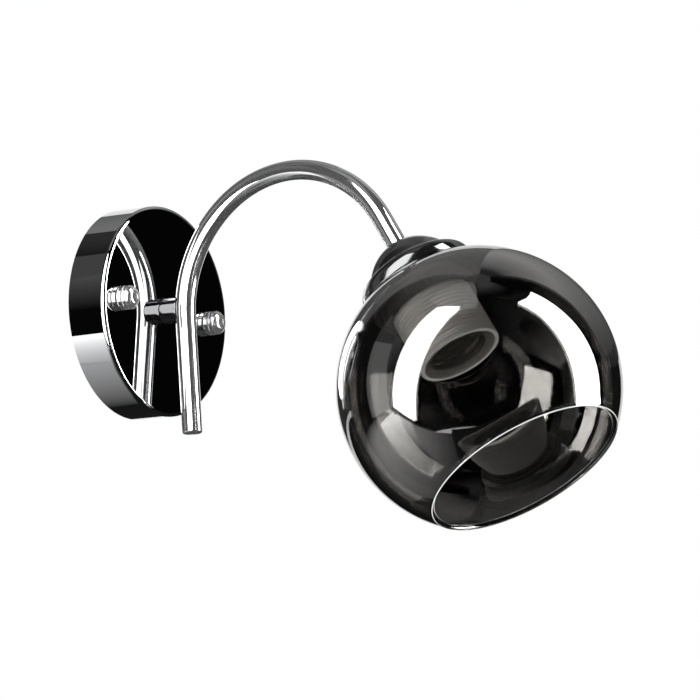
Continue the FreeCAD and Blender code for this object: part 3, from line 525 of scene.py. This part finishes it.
seat = [(r, on_seat(r)) for r in (27.0 * MM, 25.5 * MM, 24 * MM, 22.5 * MM, 21 * MM, COLLAR_BORE_R)]
shoulder = [(COLLAR_FLAT + (COLLAR_R - COLLAR_FLAT) * math.sin(math.radians(a)),
             -CUP_H - COLLAR_DROP + COLLAR_DROP * math.cos(math.radians(a))) for a in range(0, 91, 9)]
collar_low = on_seat(COLLAR_R)
collar = spun("collar", [(COLLAR_BORE_R, -CUP_H)] + shoulder + [(COLLAR_R, collar_low + COLLAR_EDGE)]
              + arc_rings((COLLAR_R - COLLAR_EDGE, collar_low + COLLAR_EDGE), COLLAR_EDGE, 0, -90, 5)
              + seat + [(COLLAR_BORE_R, -CUP_H)], LAMP)
finish_of(smooth(collar, 40), SPUN_PLATING_PAINTED_DARK, "fixture", "shade_collar")

# ---------- globe ----------
GLOBE_FRAME = LAMP @ Matrix.Translation((0, 0, GLOBE_CENTRE_Z))
INNER_R, HALF_GLASS = GLOBE_R - GLASS_THICK, GLASS_THICK / 2
MOUTH_Z = -math.sqrt((GLOBE_R - HALF_GLASS) ** 2 - MOUTH_R**2)
LIP_TURN = math.atan2(MOUTH_Z, MOUTH_R)
LIP_ROUND = 0.95
WALLS_END = math.degrees(LIP_TURN) + 0.4  # just before the lip's own rings begin
LIP_PAINT_DEPTH = 0.3 * MM


def lip_point(reach, along):
    """A point of the mouth's lip: reach out from the glass's middle, and along it towards the mouth."""
    out, down = math.cos(LIP_TURN), math.sin(LIP_TURN)
    return MOUTH_R + out * reach + down * along, MOUTH_Z + down * reach - out * along


def hole_turn(ball_r):
    """Angle at which a ball of this radius meets the hole under the collar."""
    return math.degrees(math.acos(GLASS_HOLE_R / ball_r))


# these rings run round on the glass's side, so the edge is a hollow between two thin rims and not a bead
lip_rings = three_point_rings(lip_point(HALF_GLASS, 0), lip_point(0, HALF_GLASS * LIP_ROUND),
                              lip_point(-HALF_GLASS, 0), 18)
globe_rings = (arc_rings((0, 0), GLOBE_R, hole_turn(GLOBE_R), WALLS_END, 72) + lip_rings
               + arc_rings((0, 0), INNER_R, WALLS_END, hole_turn(INNER_R), 64))
globe = spun("globe", globe_rings + [globe_rings[0]], GLOBE_FRAME, 160)
finish_of(smooth(globe, 80), GLASS, "fixture", "glass_globe")
# faces near the mouth's edge get the white finish: painted light in place of the clear rim's glow
globe.data.materials.append(LIP_PAINTED_WHITE)
to_globe = GLOBE_FRAME.inverted()
for face in globe.data.polygons:
    spot = to_globe @ face.center
    out, down = math.hypot(spot.x, spot.y) - MOUTH_R, spot.z - MOUTH_Z
    if out * math.sin(LIP_TURN) - down * math.cos(LIP_TURN) > -LIP_PAINT_DEPTH:
        face.material_index = 1

# ---------- soft ring between collar and glass ----------
SEAL_THIN, SEAL_MIDDLE, SEAL_THICK = 0.05 * MM, 0.6 * MM, 1.2 * MM


def on_globe(r, over):
    """Ring on a ball that is over larger than the globe, at this radius from the lamp's axis."""
    return r, GLOBE_CENTRE_Z + math.sqrt((GLOBE_R + over) ** 2 - r**2)


seal_low = [on_globe(r * MM, SEAL_THIN) for r in (21.8, 22.8, 23.8, 24.6, 25.2)]
seal_high = [on_globe(r * MM, SEAL_THICK) for r in (25.1, 24.4, 23.6, 22.7, 21.9)]
seal_out, seal_in = on_globe(25.4 * MM, SEAL_MIDDLE), on_globe(21.6 * MM, SEAL_MIDDLE)
seal = spun("seal", seal_low + [seal_out] + seal_high + [seal_in, seal_low[0]], LAMP, 96)
finish_of(smooth(seal, 50), SILICONE, "fixture", "shade_gasket")

# ---------- lampholder ----------
THREAD_PITCH, THREAD_DEPTH, THREAD_LONG = 2.0 * MM, 0.42 * MM, 38 * MM
THREAD_LOW = HOLDER_MOUTH + 2.2 * MM
THREAD_HIGH = THREAD_LOW + THREAD_LONG
RINGS_PER_TURN, THREAD_MARGIN = 7, 0.1 * MM
SLEEVE_LIP_IN, SLEEVE_LIP_OUT = 0.5 * MM, 0.6 * MM
BORE_END = HOLDER_MOUTH + 0.4 * MM  # 0.1 mm past the lip's first ring, which leaves a small fold there
STEP_R, STEP_START = HOLDER_R - 0.35 * MM, HOLDER_MOUTH + 1.6 * MM
STEP_LOW, STEP_HIGH = HOLDER_MOUTH + 1.75 * MM, HOLDER_MOUTH + 2.0 * MM
ring_count = round(THREAD_LONG / (THREAD_PITCH / RINGS_PER_TURN))
thread_rings = [(HOLDER_R, THREAD_LOW + THREAD_LONG * i / ring_count) for i in range(ring_count + 1)]
sleeve = spun("sleeve", [(HOLDER_BORE_R, HOLDER_TOP), (HOLDER_BORE_R, BORE_END)]
              + arc_rings((HOLDER_BORE_R + SLEEVE_LIP_IN, HOLDER_MOUTH + SLEEVE_LIP_IN),
                          SLEEVE_LIP_IN, 180, 270, 5)
              + arc_rings((HOLDER_R - SLEEVE_LIP_OUT, HOLDER_MOUTH + SLEEVE_LIP_OUT),
                          SLEEVE_LIP_OUT, -90, 0, 6)
              + [(HOLDER_R, STEP_START), (STEP_R, STEP_LOW), (STEP_R, STEP_HIGH)]
              + thread_rings + [(HOLDER_R, HOLDER_TOP), (HOLDER_BORE_R, HOLDER_TOP)], LAMP, 144)
roll_thread(sleeve, LAMP, HOLDER_R, THREAD_DEPTH, THREAD_PITCH,
            THREAD_LOW - THREAD_MARGIN, THREAD_HIGH + THREAD_MARGIN)
finish_of(smooth(sleeve, 50), HOLDER_PLASTIC, "fixture", "lampholder_skirt")

SHELL_TOP, SHELL_LOW = -35.1 * MM, -61.1 * MM
SHELL_IN, SHELL_OUT, SHELL_FLANGE = 13.3 * MM, 13.7 * MM, 15.6 * MM
SHELL_NECK = SHELL_TOP - 0.4 * MM
SHELL_PITCH, SHELL_PRESS = 3.63 * MM, 0.75 * MM
SHELL_PRESS_LOW, SHELL_PRESS_HIGH = SHELL_LOW + 0.5 * MM, SHELL_TOP - 3 * MM
SHELL_STEPS = 78
shell_wall = [SHELL_LOW + (SHELL_NECK - SHELL_LOW) * i / SHELL_STEPS for i in range(SHELL_STEPS + 1)]
shell = spun("screw_shell_rolled", [(SHELL_OUT, z) for z in shell_wall]
             + [(SHELL_FLANGE, SHELL_NECK), (SHELL_FLANGE, SHELL_TOP), (SHELL_IN, SHELL_TOP)]
             + [(SHELL_IN, z) for z in shell_wall[::-1]] + [(SHELL_OUT, SHELL_LOW)], LAMP, 96)
for wall in (SHELL_OUT, SHELL_IN):
    roll_thread(shell, LAMP, wall, SHELL_PRESS, SHELL_PITCH, SHELL_PRESS_LOW, SHELL_PRESS_HIGH)
finish_of(smooth(shell, 60), SHELL_METAL, "fixture", "screw_shell")

# ---------- flex inside the arm ----------
FLEX_R, FLEX_TURN_R = 1.8 * MM, 5 * MM
WIRE_LEVEL, FLEX_TOP, FLEX_LAMP_END = 6.3 * MM, 14.2 * MM, -23.1 * MM
BEND_POINTS, CORNER_POINTS = 60, 10
TO_WALL = Vector((0, 1, 0))


def flex_route():
    """Down the lamp's axis, round the arm, through the boss and up to the block, as in the part."""
    leave = math.asin((FLEX_TURN_R - BEND_START) / BEND_R)
    route = [LAMP @ Vector((0, 0, FLEX_LAMP_END))]
    route += [bend_spot(BEND_ANGLE + (leave - BEND_ANGLE) * i / BEND_POINTS) for i in range(BEND_POINTS + 1)]
    start, before = route[-1], route[-2]
    along = (start - before).normalized()
    corner = start + along * (start.z / -along.z)
    reach = (start - corner).length
    out_corner = corner + Vector((0, reach, 0))
    back_way = (start - corner).normalized()
    half_turn = math.acos(back_way.dot(TO_WALL)) / 2
    bow_r = reach * math.tan(half_turn)
    centre = corner + (back_way + TO_WALL).normalized() * (bow_r / math.sin(half_turn))
    first, last = (start - centre).normalized(), (out_corner - centre).normalized()
    route += [centre + first.slerp(last, i / CORNER_POINTS) * bow_r for i in range(1, CORNER_POINTS + 1)]
    tail = Vector((0, -WIRE_LEVEL - FLEX_TURN_R, FLEX_TURN_R))
    for i in range(CORNER_POINTS + 1):
        a = math.radians(90) * i / CORNER_POINTS
        route.append(tail + Vector((0, math.sin(a), -math.cos(a))) * FLEX_TURN_R)
    return route + [Vector((0, -WIRE_LEVEL, FLEX_TOP))]


def round_cord(name, route, radius):
    curve = bpy.data.curves.new(name, "CURVE")
    curve.dimensions = "3D"
    curve.bevel_depth = radius
    curve.bevel_resolution = 6
    curve.use_fill_caps = True
    line = curve.splines.new("POLY")
    line.points.add(len(route) - 1)
    for point, spot in zip(line.points, route):
        point.co = (*spot, 1)
    cord = bpy.data.objects.new(name, curve)
    bpy.context.scene.collection.objects.link(cord)
    take_up(cord)
    bpy.ops.object.convert(target="MESH")
    return bpy.context.view_layer.objects.active


finish_of(smooth(round_cord("flex", flex_route(), FLEX_R), 60), SHEATH, "fixture", "lamp_flex")

# ---------- carried-over pieces ----------
CARRIED = {
    "wall_bracket": ZINC, "stud_left": ZINC, "stud_right": ZINC, "stud_lock_nuts": ZINC, "stub_washer": ZINC,
    "cup_washer": ZINC, "stub_nut": BRASS, "cup_nipple": BRASS, "cup_lock_nut": BRASS,
    "centre_contact": BRASS, "terminal_screws": BRASS, "earth_screw": BRASS, "terminal_block": NYLON,
    "lampholder_cap": HOLDER_PLASTIC, "shade_ring": DARK_PLASTIC, "lampholder_insulator": CERAMIC,
}
for node, material in CARRIED.items():
    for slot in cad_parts[node].material_slots:
        slot.material = material

# ---------- studio ----------
ROOM_LIGHT, BACKDROP = 0.7, 1.0


def world_light():
    """Soft light all round, and plain white where the camera, a mirror or the glass sees past the studio."""
    world = bpy.data.worlds.new("studio")
    bpy.context.scene.world = world
    world.use_nodes = True
    tree = world.node_tree
    tree.nodes.clear()
    output = tree.nodes.new("ShaderNodeOutputWorld")
    mix = tree.nodes.new("ShaderNodeMixShader")
    tree.links.new(mix.outputs[0], output.inputs[0])
    for socket, strength in ((1, ROOM_LIGHT), (2, BACKDROP)):
        white = tree.nodes.new("ShaderNodeBackground")
        white.inputs["Color"].default_value = (1, 1, 1, 1)
        white.inputs["Strength"].default_value = strength
        tree.links.new(white.outputs[0], mix.inputs[socket])
    path = tree.nodes.new("ShaderNodeLightPath")
    seen = path.outputs["Is Camera Ray"]
    for kind in ("Is Glossy Ray", "Is Transmission Ray"):
        either = tree.nodes.new("ShaderNodeMath")
        either.operation = "MAXIMUM"
        tree.links.new(seen, either.inputs[0])
        tree.links.new(path.outputs[kind], either.inputs[1])
        seen = either.outputs[0]
    tree.links.new(seen, mix.inputs[0])


world_light()


def heading(azimuth, up):
    """Direction by azimuth from straight out of the wall towards +x, and by height, in degrees."""
    a, e = math.radians(azimuth), math.radians(up)
    return Vector((math.sin(a) * math.cos(e), -math.cos(a) * math.cos(e), math.sin(e)))


def glow_card(name, points, faces, level):
    """A plain glowing card that only reflections and the glass show."""
    material = bpy.data.materials.new(name)
    material.use_nodes = True
    tree = material.node_tree
    tree.nodes.clear()
    output = tree.nodes.new("ShaderNodeOutputMaterial")
    shine = tree.nodes.new("ShaderNodeEmission")
    shine.inputs["Color"].default_value = (1, 1, 1, 1)
    shine.inputs["Strength"].default_value = level
    tree.links.new(shine.outputs[0], output.inputs[0])
    mesh = bpy.data.meshes.new(name)
    mesh.from_pydata(points, [], faces)
    mesh.materials.append(material)
    card = bpy.data.objects.new(name, mesh)
    bpy.context.scene.collection.objects.link(card)
    card.visible_camera = False
    card.visible_diffuse = False
    card.visible_shadow = False
    return card


def screen(name, columns, level):
    """A bent upright screen about the globe: columns of (azimuth, lower and upper angle, distance)."""
    points = []
    for azimuth, low, high, far in columns:
        for up in (low, high):
            rise = Vector((0, 0, far * math.tan(math.radians(up))))
            points.append(GLOBE_PLACE + heading(azimuth, 0) * far + rise)
    faces = [(2 * i, 2 * i + 2, 2 * i + 3, 2 * i + 1) for i in range(len(columns) - 1)]
    return glow_card(name, points, faces, level)


def flat_card(name, points, level):
    return glow_card(name, points, [tuple(range(len(points)))], level)


def leaning_card(name, corners, level):
    """A card with straight edges, its corners measured from the globe's centre."""
    return glow_card(name, [GLOBE_PLACE + Vector(c) for c in corners], [(0, 1, 2), (0, 2, 3)], level)


def band(a0, a1, low, high, far):
    """Columns of an even screen from one azimuth to another."""
    count = max(1, round(abs(a1 - a0) / COLUMN_STEP))
    return [(a0 + (a1 - a0) * i / count, low, high, far) for i in range(count + 1)]


def at_height(azimuth, up, rise):
    """Where a line of sight from the globe meets a level plane that is rise above it."""
    aim = heading(azimuth, up)
    return GLOBE_PLACE + aim * (rise / aim.z)


def glow_of(card):
    """A card's node tree, the strength of its glow and its own coordinates."""
    tree = card.data.materials[0].node_tree
    shine = next(node for node in tree.nodes if node.type == "EMISSION")
    place = tree.nodes.new("ShaderNodeTexCoord")
    return tree, shine.inputs["Strength"], place.outputs["Object"]


def fading(name, columns, glow, between):
    """A screen whose glow changes between two heights, given as angles at the usual distance."""
    tree, strength, place = glow_of(screen(name, columns, 1.0))
    split = tree.nodes.new("ShaderNodeSeparateXYZ")
    tree.links.new(place, split.inputs[0])
    low, high = (GLOBE_PLACE.z + FAR * math.tan(math.radians(up)) for up in between)
    tree.links.new(spread(tree, split.outputs["Z"], *glow, low, high), strength)


def fade_round(card, spot, glow, between):
    """Let a card's glow change between two distances from a spot."""
    tree, strength, place = glow_of(card)
    reach = tree.nodes.new("ShaderNodeVectorMath")
    reach.operation = "DISTANCE"
    tree.links.new(place, reach.inputs[0])
    reach.inputs[1].default_value = spot
    tree.links.new(spread(tree, reach.outputs["Value"], *glow, *between), strength)


FAR, COLUMN_STEP = 1.5, 6
BEFORE, JUST_BEFORE, BEHIND, HIGH_FAR = FAR - 0.02, FAR - 0.01, FAR + 0.1, 1.55
STRIP_FAR, FLAG_FAR = 1.2, 1.6
LEFT_STRIP = [(-0.35, 0.283, -0.107), (-0.176, 0.057, -0.089), (-0.18, -0.042, 0.25), (-0.405, 0.125, 0.60)]
RIGHT_STRIP = [(azimuth, low, high, STRIP_FAR) for azimuth, low, high in (
    (-4.7, 58.5, 59.6), (9, 44.4, 60.3), (17.5, 19.5, 60.8), (22.5, -0.3, 61.2), (27, -12.2, 61.5),
    (31, -10, 61.9), (38.5, -8.3, 44.9), (47, -6.3, 19.8), (52, -4.6, -0.4), (55, -3.6, -3.4))]
HIGH_WALL = [(azimuth, 18, high, HIGH_FAR) for azimuth, high in (
    (-158, 40), (-150, 44), (-142, 58), (-132, 76), (-108, 80))]

# walls of the room, then the two lights, then what stands behind and before them
screen("dark_room", band(-134, 62, -38, 84, FAR), level=0.002)
screen("dark_right", band(62, 97, -38, 16, FAR), level=0.01)
fading("right_wall", band(62, 118, 12, 48, FAR), glow=(0.04, 0.46), between=(12, 48))
fading("right_wall_high", band(62, 118, 48, 84, FAR), glow=(0.46, 0.04), between=(48, 78))
leaning_card("strip_left", LEFT_STRIP, level=5.0).visible_transmission = False
screen("strip_right", RIGHT_STRIP, level=9.0).visible_transmission = False
# the same two lights as the inside of the glass shows them
leaning_card("strip_left_inside", LEFT_STRIP, level=17.0).visible_glossy = False
screen("strip_right_inside", RIGHT_STRIP, level=5.5).visible_glossy = False
fading("dark_high", band(-64, 8, 68, 84, BEFORE), glow=(0.0, 0.10), between=(70, 81))
fading("wall_shade", band(-136, -126, -16, 31, BEFORE), glow=(0.003, 0.11), between=(2, 30))
screen("grey_wall", band(-158, -134, -14, 26, JUST_BEFORE), level=0.24)
screen("high_wall", HIGH_WALL, level=0.08)
fading("back_wall", band(-187, -108, -14, 84, BEHIND), glow=(0.01, 0.12), between=(44, 68))
fading("far_left_wall", band(-218, -186, -2, 84, FAR), glow=(0.04, 0.24), between=(10, 50))
screen("above_backdrop", band(118, 142, 36, 84, FAR), level=0.20)

TABLE_DROP, SHADE_CARD_LIFT, GLEAM_LIFT = 0.5, 0.01, 0.002
TABLE_FRONT, TABLE_RIGHT, TABLE_BACK = -3, 3, 9
TABLE_GLOW = Vector((-0.55, 0.85, -TABLE_DROP))
CEILING_RISE, LID_RISE, LID_HALF = 2.4, 14, 2
FLOOR_LEVEL, FLOOR_SIZE = -0.62, 12


def table():
    """Grey table under the lamp with the gleam of the left light on it, as reflections show them."""
    edge = [at_height(a, e, -TABLE_DROP)
            for a, e in ((-160, -5), (-140, -15), (-118, -29), (-100, -38), (-85, -41))]
    corners = ((edge[-1].x, TABLE_FRONT), (TABLE_RIGHT, TABLE_FRONT), (TABLE_RIGHT, TABLE_BACK))
    card = flat_card("table", edge + [Vector((x, y, edge[-1].z)) for x, y in corners], level=1.0)
    fade_round(card, GLOBE_PLACE + TABLE_GLOW, glow=(0.52, 0.012), between=(0.35, 0.95))
    gleam = [at_height(a, e, -TABLE_DROP + GLEAM_LIFT)
             for a, e in ((-152, -19), (-134, -16), (-120, -27), (-122, -57), (-146, -59))]
    card = flat_card("table_gleam", gleam, level=1.0)
    fade_round(card, GLOBE_PLACE + Vector((0, 0, -TABLE_DROP)), glow=(0.03, 1.7), between=(0.38, 1.3))


def ceiling():
    """Grey reflector over the lamp's left side, and a dim lid far above it."""
    outline = ((-132, 60), (-131, 78), (-118, 83), (-88, 84), (-66, 79), (-60, 66), (-62, 50), (-95, 48))
    flat_card("ceiling", [at_height(a, e, CEILING_RISE) for a, e in outline], level=0.28)
    lid = [GLOBE_PLACE + Vector((x * LID_HALF, y * LID_HALF, LID_RISE))
           for x, y in ((-1, -1), (1, -1), (1, 1), (-1, 1))]
    flat_card("lid", lid, level=0.10)


def dark_floor():
    """Dark card just over the table, in front of the lamp and to its right: painted shade where no light
    reaches the table.
    """
    outline = ((-85, -38), (-45, -34), (0, -30), (60, -30), (110, -30), (150, -33), (165, -50), (170, -78),
               (-90, -70))
    flat_card("dark_floor", [at_height(a, e, SHADE_CARD_LIFT - TABLE_DROP) for a, e in outline], level=0.012)


def dark_flag():
    """Black flag behind the globe that only shows through the glass."""
    screen("dark_flag", band(80, 168, -50, 60, FLAG_FAR), level=0.0).visible_glossy = False


def floor():
    """The plain pale floor far under the lamp, which only the camera and soft light see."""
    nothing_selected()
    bpy.ops.mesh.primitive_plane_add(size=FLOOR_SIZE, location=(0, 0, FLOOR_LEVEL))
    plane = named("floor")
    material, _, shader, _ = blank_finish("pale_floor")
    shader.inputs["Base Color"].default_value = (0.9, 0.9, 0.9, 1)
    shader.inputs["Roughness"].default_value = 0.9
    plane.data.materials.append(material)
    plane.visible_glossy = False
    plane.visible_transmission = False


def lamp_panel(name, azimuth, up, far, wide, high, power):
    """A soft light that faces the globe and isn't itself seen in mirrors or glass."""
    data = bpy.data.lights.new(name, "AREA")
    data.shape = "RECTANGLE"
    data.size, data.size_y, data.energy = wide, high, power
    panel = bpy.data.objects.new(name, data)
    panel.location = GLOBE_PLACE + heading(azimuth, up) * far
    panel.rotation_euler = (GLOBE_PLACE - panel.location).to_track_quat("-Z", "Y").to_euler()
    panel.visible_glossy = False
    panel.visible_transmission = False
    panel.visible_camera = False
    bpy.context.scene.collection.objects.link(panel)


table()
ceiling()
dark_floor()
dark_flag()
floor()
lamp_panel("soft_left", azimuth=-118, up=15, far=1.6, wide=0.5, high=1.4, power=8)
lamp_panel("soft_right", azimuth=28, up=20, far=1.6, wide=0.5, high=1.4, power=8)
lamp_panel("soft_top", azimuth=-60, up=70, far=1.6, wide=1.2, high=1.2, power=8)
lamp_panel("into_mouth", azimuth=0, up=-57.9, far=0.45, wide=0.12, high=0.12, power=1.1)

scene = bpy.context.scene
scene.view_settings.view_transform = "Standard"
